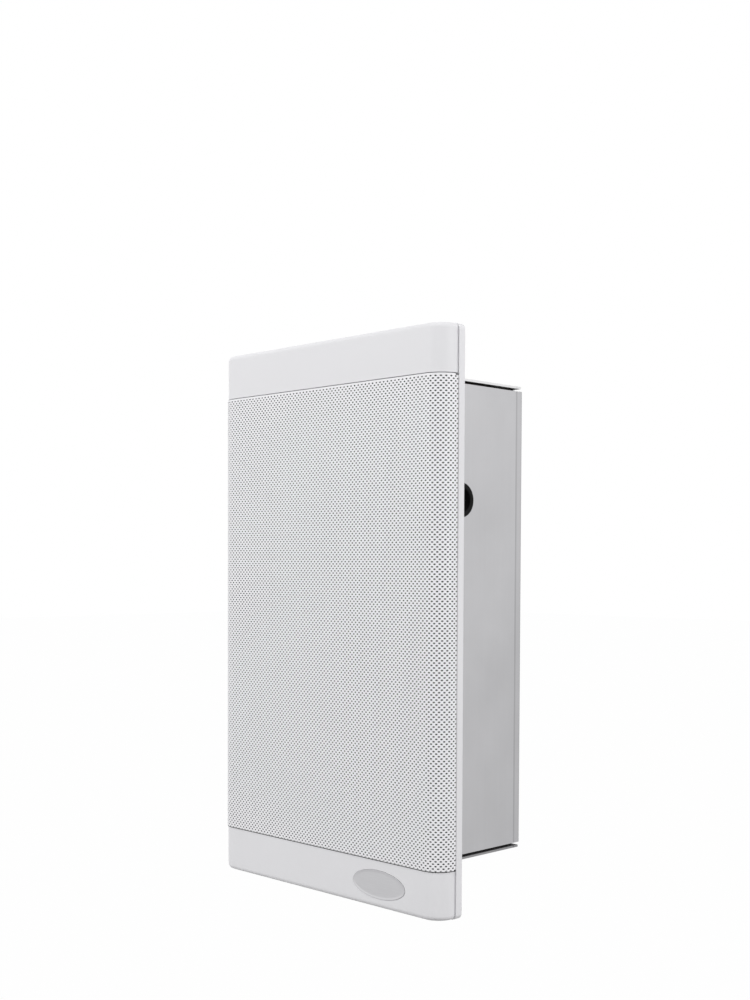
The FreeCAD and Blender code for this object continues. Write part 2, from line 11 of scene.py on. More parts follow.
import bpy
import numpy as np
from mathutils import Matrix, Vector

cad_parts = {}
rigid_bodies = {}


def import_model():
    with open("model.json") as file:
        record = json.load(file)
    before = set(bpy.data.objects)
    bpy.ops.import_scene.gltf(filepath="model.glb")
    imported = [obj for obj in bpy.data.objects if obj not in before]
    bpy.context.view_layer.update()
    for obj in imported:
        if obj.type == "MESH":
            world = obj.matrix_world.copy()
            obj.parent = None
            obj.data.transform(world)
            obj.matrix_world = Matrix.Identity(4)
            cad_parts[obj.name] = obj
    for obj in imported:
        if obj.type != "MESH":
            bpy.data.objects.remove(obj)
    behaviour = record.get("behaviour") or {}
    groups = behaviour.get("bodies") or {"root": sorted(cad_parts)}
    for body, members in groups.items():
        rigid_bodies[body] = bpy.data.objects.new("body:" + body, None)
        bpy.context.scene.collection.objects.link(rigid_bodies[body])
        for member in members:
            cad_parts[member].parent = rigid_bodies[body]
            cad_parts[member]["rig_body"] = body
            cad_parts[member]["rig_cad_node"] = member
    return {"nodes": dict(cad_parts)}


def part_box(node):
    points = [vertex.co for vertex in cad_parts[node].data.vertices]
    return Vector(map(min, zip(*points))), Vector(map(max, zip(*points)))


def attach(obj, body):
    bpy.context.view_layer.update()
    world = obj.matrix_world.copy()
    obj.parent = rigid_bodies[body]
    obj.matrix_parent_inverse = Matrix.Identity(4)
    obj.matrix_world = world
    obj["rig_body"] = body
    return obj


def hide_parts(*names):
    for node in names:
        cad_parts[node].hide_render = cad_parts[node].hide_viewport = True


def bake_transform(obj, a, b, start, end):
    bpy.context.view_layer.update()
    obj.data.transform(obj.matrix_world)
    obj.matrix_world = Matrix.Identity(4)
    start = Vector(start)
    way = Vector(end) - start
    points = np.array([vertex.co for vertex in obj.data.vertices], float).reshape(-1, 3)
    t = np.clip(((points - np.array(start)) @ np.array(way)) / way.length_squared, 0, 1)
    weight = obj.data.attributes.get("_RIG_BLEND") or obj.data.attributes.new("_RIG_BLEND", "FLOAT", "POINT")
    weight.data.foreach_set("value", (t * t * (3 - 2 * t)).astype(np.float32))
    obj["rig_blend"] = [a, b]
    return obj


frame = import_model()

MM = 0.001
NEAR = 0.01 * MM
SHELL, CONE = "speaker", "cone"
nodes = frame["nodes"]
for leftover in ("Cube", "Light", "Camera"):
    if leftover in bpy.data.objects:
        bpy.data.objects.remove(bpy.data.objects[leftover])
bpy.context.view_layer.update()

# %% [markdown]
# ## Working as by hand
# An operator acts on whatever is selected, so each step first drops the old selection and then picks its
# own vertices, edges or faces by where they lie. These few helpers do the picking, so that the cells below
# read like the steps a modeller takes in the window.

# %% Helpers for picking and finishing
SHARP = math.radians(60)
MERGE_WITHIN = 0.002 * MM


def hold(piece):
    """Leave edit mode and make one object the only selected one."""
    if bpy.context.mode != "OBJECT":
        bpy.ops.object.mode_set(mode="OBJECT")
    bpy.ops.object.select_all(action="DESELECT")
    piece.select_set(True)
    bpy.context.view_layer.objects.active = piece


def fresh(name):
    """Name the primitive that was just added and put its place into its mesh."""
    piece = bpy.context.object
    piece.name = piece.data.name = name
    hold(piece)
    bpy.ops.object.transform_apply(location=True, rotation=True, scale=True)
    return piece


def pick(piece, kind, test):
    """Go to edit mode with the vertices, edges or faces selected whose middle (and normal) pass a test."""
    hold(piece)
    bpy.ops.object.mode_set(mode="EDIT")
    bpy.ops.mesh.select_mode(type=kind)
    bpy.ops.mesh.select_all(action="DESELECT")
    bpy.ops.object.mode_set(mode="OBJECT")
    mesh = piece.data
    if kind == "VERT":
        for v in mesh.vertices:
            v.select = test(v.co)
    elif kind == "EDGE":
        for e in mesh.edges:
            a, b = (mesh.vertices[i].co for i in e.vertices)
            e.select = test((a + b) / 2, b - a)
    else:
        for f in mesh.polygons:
            f.select = test(f.center, f.normal)
    bpy.ops.object.mode_set(mode="EDIT")


def pick_sharp(piece, test):
    """Go to edit mode with those sharp edges selected whose middle and direction pass a test."""
    pick(piece, "EDGE", lambda middle, along: False)
    bpy.ops.mesh.edges_select_sharp(sharpness=SHARP)
    bpy.ops.object.mode_set(mode="OBJECT")
    mesh = piece.data
    for e in mesh.edges:
        a, b = (mesh.vertices[i].co for i in e.vertices)
        e.select = e.select and test((a + b) / 2, b - a)
    bpy.ops.object.mode_set(mode="EDIT")


def pick_all(piece):
    """Go to edit mode with everything selected."""
    hold(piece)
    bpy.ops.object.mode_set(mode="EDIT")
    bpy.ops.mesh.select_all(action="SELECT")


def apply_modifier(piece, kind, **settings):
    """Add a modifier, set it and apply it at once."""
    hold(piece)
    modifier = piece.modifiers.new(kind.title(), kind)
    for key, value in settings.items():
        setattr(modifier, key, value)
    bpy.ops.object.modifier_apply(modifier=modifier.name)


def smooth(piece, degrees=32):
    """Shade the soft bends smoothly and keep the sharp edges sharp."""
    hold(piece)
    bpy.ops.object.shade_smooth_by_angle(angle=math.radians(degrees))


def report(piece):
    """Print how fine a piece is and the box it fills."""
    count = sum(len(f.vertices) - 2 for f in piece.data.polygons)
    corners = [Vector(c) / MM for c in piece.bound_box]
    low, high = ([round(f(c[k] for c in corners), 1) for k in range(3)] for f in (min, max))
    print(f"{piece.name}: {count} triangles, from {low} to {high} mm")


def place(piece, body, slot, finish, *stands_for):
    """Give a finished piece its body and material, and hide the CAD solids that it stands for; slot is not
    used.
    """
    piece.data.materials.clear()
    piece.data.materials.append(finish)
    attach(piece, body)
    if stands_for:
        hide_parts(*stands_for)
    report(piece)


def own_copy(node, name):
    """A free copy of a CAD solid with its loose triangles merged into one skin."""
    piece = nodes[node].copy()
    piece.data = nodes[node].data.copy()
    piece.name = piece.data.name = name
    piece.parent = None
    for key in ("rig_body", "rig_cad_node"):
        del piece[key]
    bpy.context.scene.collection.objects.link(piece)
    pick_all(piece)
    bpy.ops.mesh.customdata_custom_splitnormals_clear()
    bpy.ops.mesh.remove_doubles(threshold=MERGE_WITHIN)
    bpy.ops.object.mode_set(mode="OBJECT")
    return piece


def soften(piece, width, segments=2, degrees=32):
    """Round the sharp edges of a piece by a small real radius."""
    apply_modifier(piece, "BEVEL", width=width, segments=segments, limit_method="ANGLE",
                   angle_limit=math.radians(degrees), use_clamp_overlap=True)
    smooth(piece, degrees)


print("helpers ready")

# %% [markdown]
# ## Writing finishes
# A material is a small drawing of connected boxes. `Wire` wraps one output of such a box, so that ordinary
# arithmetic on wires adds the Math boxes. `Drawing.node` adds any other box. Only what changes over a
# surface is wired; a number that is the same all over is set on the shader itself.

# %% Small classes for materials
class Wire:
    """One output socket, with the arithmetic of plain numbers."""

    def __init__(self, finish, socket):
        self.finish, self.socket = finish, socket

    def maths(self, operation, a, b):
        return self.finish.node("ShaderNodeMath", {"operation": operation}, {0: a, 1: b})

    def __add__(self, other):
        return self.maths("ADD", self, other)

    def __sub__(self, other):
        return self.maths("SUBTRACT", self, other)

    def __rsub__(self, other):
        return self.maths("SUBTRACT", other, self)

    def __mul__(self, other):
        return self.maths("MULTIPLY", self, other)

    def __gt__(self, other):
        return self.maths("GREATER_THAN", self, other)

    __radd__, __rmul__ = __add__, __mul__


class Drawing:
    """The boxes of one material or of the world."""

    def __init__(self, tree):
        self.tree = tree

    def node(self, kind, settings, inputs, output=0):
        """Add a node: its settings first (stops are a ramp's), then the values or wires of its sockets."""
        made = self.tree.nodes.new(kind)
        for key, value in settings.items():
            if key == "stops":
                for element, (at, tone) in zip(made.color_ramp.elements, value):
                    element.position, element.color = at, (tone, tone, tone, 1)
            else:
                setattr(made, key, value)
        for key, value in inputs.items():
            if isinstance(value, Wire):
                self.tree.links.new(value.socket, made.inputs[key])
            else:
                made.inputs[key].default_value = value
        return Wire(self, made.outputs[output])

    def spot(self, kind="Object"):
        """Where a point is: its Object place, its UV or, in the world, its Generated direction."""
        return self.node("ShaderNodeTexCoord", {}, {}, kind)

    def part_of(self, vector, axis):
        """One of the three numbers of a place."""
        return self.node("ShaderNodeSeparateXYZ", {}, {0: vector}, axis)

    def ray(self, kind):
        """1 for rays of one kind, otherwise 0."""
        return self.node("ShaderNodeLightPath", {}, {}, f"Is {kind} Ray")


class Finish(Drawing):
    """A material with one Principled shader; keywords are the settings that are the same all over."""

    def __init__(self, name, **constants):
        self.material = bpy.data.materials.new(name)
        self.material.use_nodes = True
        super().__init__(self.material.node_tree)
        self.shader = self.tree.nodes["Principled BSDF"]
        for key, value in constants.items():
            self.shader.inputs[key.replace("_", " ")].default_value = value

    def stretched(self, vector, scale):
        """The same place with its axes scaled, for grain that runs one way."""
        return self.node("ShaderNodeMapping", {}, {"Vector": vector, "Scale": scale})

    def noise(self, vector, scale, detail=3.0, roughness=0.55):
        """Cloudy noise from 0 to 1."""
        return self.node("ShaderNodeTexNoise", {},
                         {"Vector": vector, "Scale": scale, "Detail": detail, "Roughness": roughness}, "Fac")

    def ramp(self, value, low, high):
        """Spread the values between low and high over 0 to 1."""
        return self.node("ShaderNodeValToRGB", {"stops": ((low, 0.0), (high, 1.0))}, {"Fac": value})

    def stripes(self, vector, axis, scale):
        """Smooth stripes across an axis, from 0 to 1."""
        settings = {"wave_type": "BANDS", "bands_direction": axis, "wave_profile": "SIN"}
        inputs = {"Vector": vector, "Scale": scale, "Distortion": 0.0}
        return self.node("ShaderNodeTexWave", settings, inputs, "Fac")

    def mix(self, factor, a, b):
        """Blend two colours."""
        return self.node("ShaderNodeMix", {"data_type": "RGBA"}, {0: factor, 6: a, 7: b}, 2)

    def wire(self, **targets):
        """Feed the shader's own sockets."""
        for key, value in targets.items():
            self.tree.links.new(value.socket, self.shader.inputs[key.replace("_", " ")])

    def bump(self, height, distance, strength=1.0):
        """Feed fine relief to the shader, its height in metres."""
        made = self.node("ShaderNodeBump", {}, {"Height": height, "Distance": distance, "Strength": strength})
        self.tree.links.new(made.socket, self.shader.inputs["Normal"])


def grey(value, tint=(1.0, 1.0, 1.0)):
    return (value * tint[0], value * tint[1], value * tint[2], 1.0)


print("finish classes ready")

# %% [markdown]
# ## The two whites
# The front is an injection-moulded plastic with a very fine spark-eroded texture, so it is matt and almost
# even. The grille is steel with a powder coat, which is a little glossier and has the faint orange peel
# that powder leaves. Both are slightly cool whites.

# %% White moulding and white powder coat
COOL = (0.992, 0.988, 1.012)


def white_moulding():
    f = Finish("textured_white", Specular_IOR_Level=0.4)
    at = f.spot()
    cloud = f.noise(at, 18.0, 2.0)
    grain = f.noise(at, 2600.0, 2.0)
    f.wire(Base_Color=f.mix(cloud, grey(0.80, COOL), grey(0.83, COOL)), Roughness=grain * 0.12 + 0.44)
    f.bump(grain, 0.02 * MM, 0.35)
    return f.material


def white_powder():
    f = Finish("powder_white", Specular_IOR_Level=0.5)
    at = f.spot()
    cloud = f.noise(at, 25.0, 2.0)
    peel = f.noise(at, 900.0, 2.0)
    f.wire(Base_Color=f.mix(cloud, grey(0.90, COOL), grey(0.93, COOL)), Roughness=peel * 0.14 + 0.34)
    f.bump(peel, 0.03 * MM, 0.4)
    return f.material


WHITE_MOULDING, WHITE_POWDER = white_moulding(), white_powder()
print("whites:", WHITE_MOULDING.name, WHITE_POWDER.name)

# %% [markdown]
# ## Bare steel, rubber and the badge's silver
# The tray is cold-rolled sheet left bare. Rolling leaves faint streaks along the sheet and a cloudy, uneven
# sheen, so a noise stretched along Z drives colour and roughness together. A darker line just before the rear
# folds is partly a press brake's mark and partly painted shade where the sheet starts to turn, and the folds
# carry painted shade. The raw edge of the upper wall has a painted highlight and that of the lower wall
# painted shade. Rubber is nearly black and soft in its shine. The badge is a thin brushed plate.

# %% Sheet metal, rubber and silver
PRESS_Y, PRESS_W = 68.4 * MM, 1.2 * MM
FOLD_Y = 72.6 * MM
tray_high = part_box("back_box")[1]
CUT_FROM, CUT_TO = tray_high.z - 1.25 * MM, tray_high.z - 0.04 * MM
# Darkening before the rear folds: partly a press brake's mark, partly painted shade where the sheet turns;
# the fold itself has painted shade
PRESS_LINE_SHADE, LINE_EASED, FOLD_SHADE = 0.22, 0.18, 0.16
# Strength of the painted highlight on the upper wall's raw edge and of the painted shade on the lower wall's
EDGE_HIGHLIGHT, EDGE_SHADE = 0.5, 0.4


def bare_steel():
    f = Finish("rolled_steel", Metallic=1.0)
    at = f.spot()
    depth, height = f.part_of(at, "Y"), f.part_of(at, "Z")
    # Press line: partly a press mark and partly painted shade; past FOLD_Y the fold carries painted shade
    line = (depth > PRESS_Y - PRESS_W / 2) * PRESS_LINE_SHADE - (depth > PRESS_Y + PRESS_W / 2) * LINE_EASED
    press_and_fold_shade = line + (depth > FOLD_Y) * FOLD_SHADE
    # Painted highlight on the raw edge of the upper wall and painted shade on that of the lower wall
    painted_edge_highlight = ((height > CUT_FROM) - (height > CUT_TO)) * EDGE_HIGHLIGHT
    painted_edge_shade = ((height * -1.0 > CUT_FROM) - (height * -1.0 > CUT_TO)) * EDGE_SHADE
    cloud = f.ramp(f.noise(at, 16.0, 4.0, 0.6), 0.3, 0.7)
    streak = f.noise(f.stretched(at, (1.0, 1.0, 0.03)), 700.0, 3.0, 0.6)
    spangle = f.noise(at, 120.0, 3.0)
    shade = cloud * 0.45 + streak * 0.35 + spangle * 0.2
    rolled = f.mix(shade, grey(0.49, COOL), grey(0.57, COOL))
    # The painted shade of the press line, the fold and the lower raw edge darkens the steel towards black
    shaded_steel = f.mix(press_and_fold_shade + painted_edge_shade, rolled, grey(0.0))
    f.wire(Base_Color=f.mix(painted_edge_highlight, shaded_steel, grey(0.9)), Roughness=shade * 0.16 + 0.38)
    f.bump(streak, 0.02 * MM, 0.25)
    return f.material


def black_rubber():
    f = Finish("soft_rubber", Specular_IOR_Level=0.1)
    at = f.spot()
    bloom = f.noise(at, 180.0, 4.0)
    f.wire(Base_Color=f.mix(bloom, grey(0.002), grey(0.006)), Roughness=bloom * 0.2 + 0.5)
    f.bump(f.noise(at, 2400.0), 0.02 * MM, 0.4)
    return f.material


def silver_plate():
    f = Finish("brushed_silver", Metallic=1.0)
    at = f.spot()
    brushed = f.noise(f.stretched(at, (0.04, 1.0, 1.0)), 5200.0, 2.0)
    f.wire(Base_Color=f.mix(brushed, grey(0.49, COOL), grey(0.60, COOL)), Roughness=brushed * 0.14 + 0.5)
    f.bump(brushed, 0.01 * MM, 0.3)
    return f.material


BARE_STEEL, BLACK_RUBBER, SILVER_PLATE = bare_steel(), black_rubber(), silver_plate()
print("metals and rubber ready")

# %% [markdown]
# ## Cloth
# The grille is lined with a dark open weave that keeps dust off the cone and hides it. The threads cross at
# right angles, so two sets of stripes in the cloth's own UV give the over-and-under relief.

# %% Woven cloth
CLOTH_W, CLOTH_H = 190.4 * MM, 249.4 * MM


def woven(name, dark, light, threads, where="UV"):
    f = Finish(name, Sheen_Weight=0.25)
    at = f.spot(where)
    warp = f.stripes(at, "X", threads[0])
    weft = f.stripes(at, "Y", threads[1])
    weave = warp * weft + (1.0 - warp) * (1.0 - weft)
    fuzz = f.noise(at, 60.0, 4.0)
    f.wire(Base_Color=f.mix(weave * 0.7 + fuzz * 0.3, dark, light), Roughness=weave * 0.1 + 0.82)
    f.bump(weave, 0.12 * MM, 0.7)
    return f.material


STRIPE = 0.314             # pitch of the stripes of a wave texture at scale 1
THREAD = 0.9 * MM
GRILLE_LINING = woven("grille_lining", grey(0.010), grey(0.035),
                      (STRIPE * CLOTH_W / THREAD, STRIPE * CLOTH_H / THREAD))
print("cloth:", GRILLE_LINING.name)

# %% [markdown]
# ## The camera
# The picture was taken from the right, about 0.73 m from the speaker and just above its middle. Its three
# directions make the columns of the camera's rotation. The speaker sits low in the frame, which a small
# vertical shift gives without tilting the uprights.

# %% Camera
VIEW_AT = Vector((531.68, -501.80, 29.80)) * MM
YAW, PITCH, ROLL = (math.radians(a) for a in (45.264, 1.769, 0.2285))
LENS, SHIFT_Y = 47.60, 0.1047

ahead = Vector((-math.sin(YAW) * math.cos(PITCH), math.cos(YAW) * math.cos(PITCH), -math.sin(PITCH)))
level = Vector((math.cos(YAW), math.sin(YAW), 0))
upright = level.cross(ahead)
right = level * math.cos(ROLL) + upright * math.sin(ROLL)
top = upright * math.cos(ROLL) - level * math.sin(ROLL)
lens = bpy.data.cameras.new("photo_view")
lens.lens, lens.sensor_width, lens.shift_y = LENS, 36.0, SHIFT_Y
lens.clip_start, lens.clip_end = 0.01, 50.0
camera = bpy.data.objects.new("photo_view", lens)
bpy.context.scene.collection.objects.link(camera)
camera.matrix_world = Matrix.Translation(VIEW_AT) @ Matrix((right, top, -ahead)).transposed().to_4x4()
bpy.context.scene.camera = camera
print("camera looks along", [round(v, 3) for v in ahead])

# %% [markdown]
# ## The punched grille, one hole at a time
# The sheet is punched in staggered rows. Around each hole lies a diamond of metal, and such diamonds fill
# the sheet without gaps. So one diamond is modelled: an oblong hole of eight sides whose rim is extruded
# outwards until its corners meet the neighbours' corners. A pair of them is one step of the pattern, and
# two Array modifiers repeat it. Extra rows are added and then cut off with bisect. The sheet is cut from a
# larger punched one, so its top edge runs between two rows and its lower edge through a row.

# %% Sizes of the grille
grille_low, grille_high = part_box("grille")
PITCH_X, PITCH_Z = 2.71 * MM, 2.475 * MM
HOLE_W, HOLE_H = 1.34 * MM, 0.82 * MM
SHEET = 0.15 * MM
JOIN_WITHIN, SNAP_WITHIN = 0.005 * MM, 0.0001 * MM
LIP = 5.0 * MM
NOTCH = 2.2 * MM
BEND = 11.5 * MM
FRONT_Y, GROOVE_Y = grille_low.y, -4.15 * MM
FLAT = grille_high.x - BEND
HALF_LENGTH = FLAT + BEND * math.pi / 2 + (GROOVE_Y - (FRONT_Y + BEND))
HALF_HEIGHT = grille_high.z - 0.15 * MM
MARGIN = 0.78 * MM
COLUMNS, PANELS, PHASE = 36, 4, -0.5 * MM
panel_w = COLUMNS * PITCH_X / 2
field_low, field_high = grille_low.z + 0.1 * MM, HALF_HEIGHT - MARGIN
rows = math.ceil((field_high - field_low) / PITCH_Z)
print(f"sheet {2 * HALF_LENGTH / MM:.1f} x {(HALF_HEIGHT - field_low) / MM:.1f} mm before bending,",
      f"with about {int(2 * HALF_LENGTH / PITCH_X * 2 * rows)} holes")

# %% One diamond with its hole
UPRIGHT = (math.pi / 2, 0, 0)


def hole_pair():
    """Two neighbouring diamonds in the XZ plane, the first hole in the middle of the first half column."""
    bpy.ops.mesh.primitive_circle_add(vertices=8, radius=0.5, fill_type="NOTHING", rotation=UPRIGHT)
    bpy.context.object.scale = (HOLE_W, HOLE_H, 1)
    pair = fresh("hole_pair")
    pick_all(pair)
    bpy.ops.mesh.extrude_edges_move()
    bpy.ops.transform.resize(value=(PITCH_X / HOLE_W, 1, PITCH_Z / HOLE_H), center_override=(0, 0, 0))

    def on_diagonal(co):
        return co.length > 0.51 * HOLE_W and min(abs(co.x), abs(co.z)) > 0.1 * HOLE_H

    pick(pair, "VERT", on_diagonal)
    slant = math.sqrt(0.5)
    bpy.ops.transform.resize(value=(slant, 1, slant), center_override=(0, 0, 0))
    pick_all(pair)
    bpy.ops.mesh.duplicate_move(TRANSFORM_OT_translate={"value": (PITCH_X / 2, 0, PITCH_Z / 2)})
    bpy.ops.mesh.select_all(action="SELECT")
    bpy.ops.transform.translate(value=(PITCH_X / 4, 0, PITCH_Z / 4))
    bpy.ops.mesh.remove_doubles(threshold=JOIN_WITHIN)
    bpy.ops.object.mode_set(mode="OBJECT")
    return pair


seed_pair = hole_pair()
print("pair of diamonds:", len(seed_pair.data.vertices), "vertices,", len(seed_pair.data.polygons), "faces")

# %% A flat panel of many holes
def trim(piece, at, outwards):
    """Cut a piece at a plane and drop what lies beyond it."""
    pick_all(piece)
    bpy.ops.mesh.bisect(plane_co=at, plane_no=outwards, clear_outer=True, threshold=SNAP_WITHIN)
    bpy.ops.object.mode_set(mode="OBJECT")


def repeat(piece, count, step):
    """Apply an Array modifier that joins each copy to the next."""
    apply_modifier(piece, "ARRAY", count=count, use_relative_offset=False, use_constant_offset=True,
                   constant_offset_displace=step, use_merge_vertices=True, merge_threshold=JOIN_WITHIN)


def flat_panel(name, start):
    """One panel of the punched sheet before bending, with its left edge at start."""
    panel = seed_pair.copy()
    panel.data = seed_pair.data.copy()
    panel.name = panel.data.name = name
    bpy.context.scene.collection.objects.link(panel)
    repeat(panel, COLUMNS // 2 + 2, (PITCH_X, 0, 0))
    repeat(panel, rows + 2, (0, 0, PITCH_Z))
    pick_all(panel)
    bpy.ops.transform.translate(value=(start - PITCH_X, 0, field_high - (rows + 1) * PITCH_Z))
    bpy.ops.mesh.remove_doubles(threshold=JOIN_WITHIN)
    trim(panel, (max(start, -HALF_LENGTH), 0, 0), (-1, 0, 0))
    trim(panel, (min(start + panel_w, HALF_LENGTH), 0, 0), (1, 0, 0))
    trim(panel, (0, 0, field_low), (0, 0, -1))
    trim(panel, (0, 0, field_high), (0, 0, 1))
    return panel


def wrap(piece, inset):
    """Bend a flat piece round both sides of the front, a little inside the sheet's outer face."""
    mesh = piece.data
    co = np.empty(len(mesh.vertices) * 3)
    mesh.vertices.foreach_get("co", co)
    co = co.reshape(-1, 3)
    over = np.clip(np.abs(co[:, 0]) - FLAT, 0, None)
    turn = np.minimum(over / (BEND - inset), math.pi / 2)
    straight = np.clip(over - (BEND - inset) * math.pi / 2, 0, None)
    radius = BEND - inset - co[:, 1]
    bent = np.minimum(np.abs(co[:, 0]), FLAT) + radius * np.sin(turn)
    co[:, 1] = FRONT_Y + BEND - radius * np.cos(turn) + straight
    co[:, 0] = np.sign(co[:, 0]) * bent
    mesh.vertices.foreach_set("co", co.ravel())
    mesh.update()


def face_out(piece, outwards=(0, -1, 0)):
    """Turn the faces of an open skin so that most of it looks one way, which is forward as a rule."""
    pick_all(piece)
    bpy.ops.mesh.normals_make_consistent(inside=False)
    bpy.ops.object.mode_set(mode="OBJECT")
    if sum(f.normal.dot(outwards) * f.area for f in piece.data.polygons) < 0:
        pick_all(piece)
        bpy.ops.mesh.flip_normals()
        bpy.ops.object.mode_set(mode="OBJECT")


def to_sheet(piece, outwards=(0, -1, 0)):
    """Bend a flat skin to shape, give it the sheet's thickness and finish it."""
    wrap(piece, 0.0)
    face_out(piece, outwards)
    apply_modifier(piece, "SOLIDIFY", thickness=SHEET, offset=-1.0, use_even_offset=True)
    smooth(piece, 25)
    place(piece, SHELL, "white_sheet", WHITE_POWDER, "grille")
    return piece


panels = []
for k in range(PANELS):
    left = (k - PANELS / 2) * panel_w + PHASE
    panels.append(to_sheet(flat_panel(f"grille_panel_{k + 1}", left)))
bpy.data.objects.remove(seed_pair)

# %% [markdown]
# ## The turned edges of the grille
# The sheet's ends are turned back towards the baffle. Each turned lip is one strip over the whole width, so
# that no joint shows: a row of many short faces that bends smoothly with the sheet. Above the holes the
# upper strip starts with a narrow plain margin. The sheet's corners are cut away.

# %% Upper margin and turned lips
STRIP_STEPS = 240
strip_w = 2 * (HALF_LENGTH - NOTCH)


def strip_grid(name, length, width, at, turn=(0, 0, 0)):
    """A flat strip of many short faces, before bending."""
    bpy.ops.mesh.primitive_grid_add(x_subdivisions=STRIP_STEPS, y_subdivisions=1, size=1,
                                    rotation=turn, location=at)
    bpy.context.object.scale = (length, width, 1)
    return fresh(name)


def upper_edge():
    strip = strip_grid("grille_edge_top", strip_w, MARGIN, (0, 0, HALF_HEIGHT - MARGIN / 2), UPRIGHT)

    def on_end(middle, along):
        return abs(middle.z - HALF_HEIGHT) < NEAR

    pick(strip, "EDGE", on_end)
    bpy.ops.mesh.extrude_edges_move(TRANSFORM_OT_translate={"value": (0, LIP, 0)})
    bpy.ops.object.mode_set(mode="OBJECT")
    return to_sheet(strip)


def lower_edge():
    strip = strip_grid("grille_edge_bottom", strip_w, LIP - SHEET, (0, (SHEET + LIP) / 2, field_low))
    return to_sheet(strip, (0, 0, -1))


panels += [upper_edge(), lower_edge()]

# %% [markdown]
# ## The strip under the grille
# A strip of black rubber between the lower lip and the band is painted shade: it stands in for the shade in
# the gap there and is the dark line under the holes seen from the front. It is laid out like the lip and bent
# in the same way.

# %% Rattle strip
STRIP_T, STRIP_BACK = 0.4 * MM, 0.1 * MM


# A dark strip of painted shade in the gap under the grille's lower lip
def rattle_strip():
    at = (0, (STRIP_BACK + LIP) / 2, field_low)
    strip = strip_grid("rattle_strip", 2 * HALF_LENGTH, LIP - STRIP_BACK, at)
    wrap(strip, 0.0)
    face_out(strip, (0, 0, 1))
    apply_modifier(strip, "SOLIDIFY", thickness=STRIP_T, offset=-1.0)
    smooth(strip, 40)
    place(strip, SHELL, "black_rubber", BLACK_RUBBER)


rattle_strip()

# %% [markdown]
# ## The lining behind the grille
# A single piece of cloth is glued to the back of the sheet, so it takes the same bends. A fine grid is laid
# out flat at its cut size and wrapped just inside the metal, and its UV stays that of the flat cloth.

# %% Cloth lining
CLOTH_T, GLUE = 0.4 * MM, 0.05 * MM
ACROSS, UP = 140, 40


def lining():
    bpy.ops.mesh.primitive_grid_add(x_subdivisions=ACROSS, y_subdivisions=UP, size=1, rotation=UPRIGHT)
    bpy.context.object.scale = (CLOTH_W, CLOTH_H, 1)
    cloth = fresh("grille_lining")
    wrap(cloth, SHEET + GLUE)
    face_out(cloth)
    apply_modifier(cloth, "SOLIDIFY", thickness=CLOTH_T, offset=-1.0)
    smooth(cloth, 60)
    place(cloth, SHELL, "dark_cloth", GRILLE_LINING, "grille_cloth")


lining()

# %% [markdown]
# ## The front moulding
# The CAD solid already has the bands with their rounded sides and ends, the shadow grooves, the pockets and
# ribs behind. What it lacks is what a mould always leaves: a small radius on the flange's rim, which
# catches the light. The sharp edges round the flange's rear and beside the groove are picked on a merged
# copy and rounded with the Bevel tool, and the groove's floor is brought up to the sheet that stands on it,
# because its shadow is a soft one.

# %% Front moulding
front_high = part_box("front_frame")[1]
FLANGE_T = 4.5 * MM
RIM_R, GROOVE_R = 0.4 * MM, 0.18 * MM
RIM_REACH, GROOVE_X = 0.9 * MM, 88.5 * MM


def front_moulding():
    front = own_copy("front_frame", "front_moulding")

    def on_rim(middle, along):
        at_wall = abs(middle.y) < NEAR and abs(along.y) < NEAR
        at_side = abs(middle.x) > front_high.x - RIM_REACH
        at_end = abs(middle.z) > front_high.z - RIM_REACH
        return at_wall and (at_side or at_end)

    pick_sharp(front, on_rim)
    bpy.ops.mesh.bevel(offset=RIM_R, segments=3, clamp_overlap=False)

    def in_groove(middle, normal):
        return normal.y < -0.9 and abs(middle.y - grille_high.y) < 2 * NEAR

    pick(front, "FACE", in_groove)
    bpy.ops.transform.translate(value=(0, GROOVE_Y - grille_high.y, 0))

    def beside_groove(middle, along):
        full_height = abs(along.z) > front_high.z
        return full_height and abs(middle.y + FLANGE_T) < NEAR and abs(middle.x) > GROOVE_X

    pick_sharp(front, beside_groove)
    bpy.ops.mesh.bevel(offset=GROOVE_R, segments=2, clamp_overlap=False)
    smooth(front)
    place(front, SHELL, "white_moulding", WHITE_MOULDING, "front_frame")


front_moulding()

# %% [markdown]
# ## The folded tray
# The tray's folds, its open corner seams and the raw edges of its sheet are in the solid, so a merged copy
# needs little: the ends of the side walls are moved back a touch, because the seams gape a little on the
# real one, and the shading follows the folds.

# %% Tray
WALL_END = tray_high.z - 2.2 * MM
WALL_X = 65 * MM
GAPE = 0.5 * MM


def folded_tray():
    tray = own_copy("back_box", "folded_tray")
    for side in (-1, 1):
        def is_wall_end(middle, normal):
            at_end = abs(middle.z - side * WALL_END) < 5 * NEAR
            return at_end and normal.z * side > 0.9 and abs(middle.x) > WALL_X

        pick(tray, "FACE", is_wall_end)
        bpy.ops.transform.translate(value=(0, 0, -side * GAPE))
    smooth(tray)
    place(tray, SHELL, "bare_steel", BARE_STEEL, "back_box")


folded_tray()

# %% [markdown]
# ## The badge
# The plate on the lower band is a shallow oval dish with a raised rim. A cylinder with many sides is
# squashed to the oval, its front face is inset for the rim and pushed back, and a bevel rounds the rim.

# %% Badge
badge_low, badge_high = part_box("badge")
BADGE_RIM, DISH_DEPTH, DISH_SLOPE, BADGE_ROUND = 1.0 * MM, 0.25 * MM, 0.5 * MM, 0.18 * MM


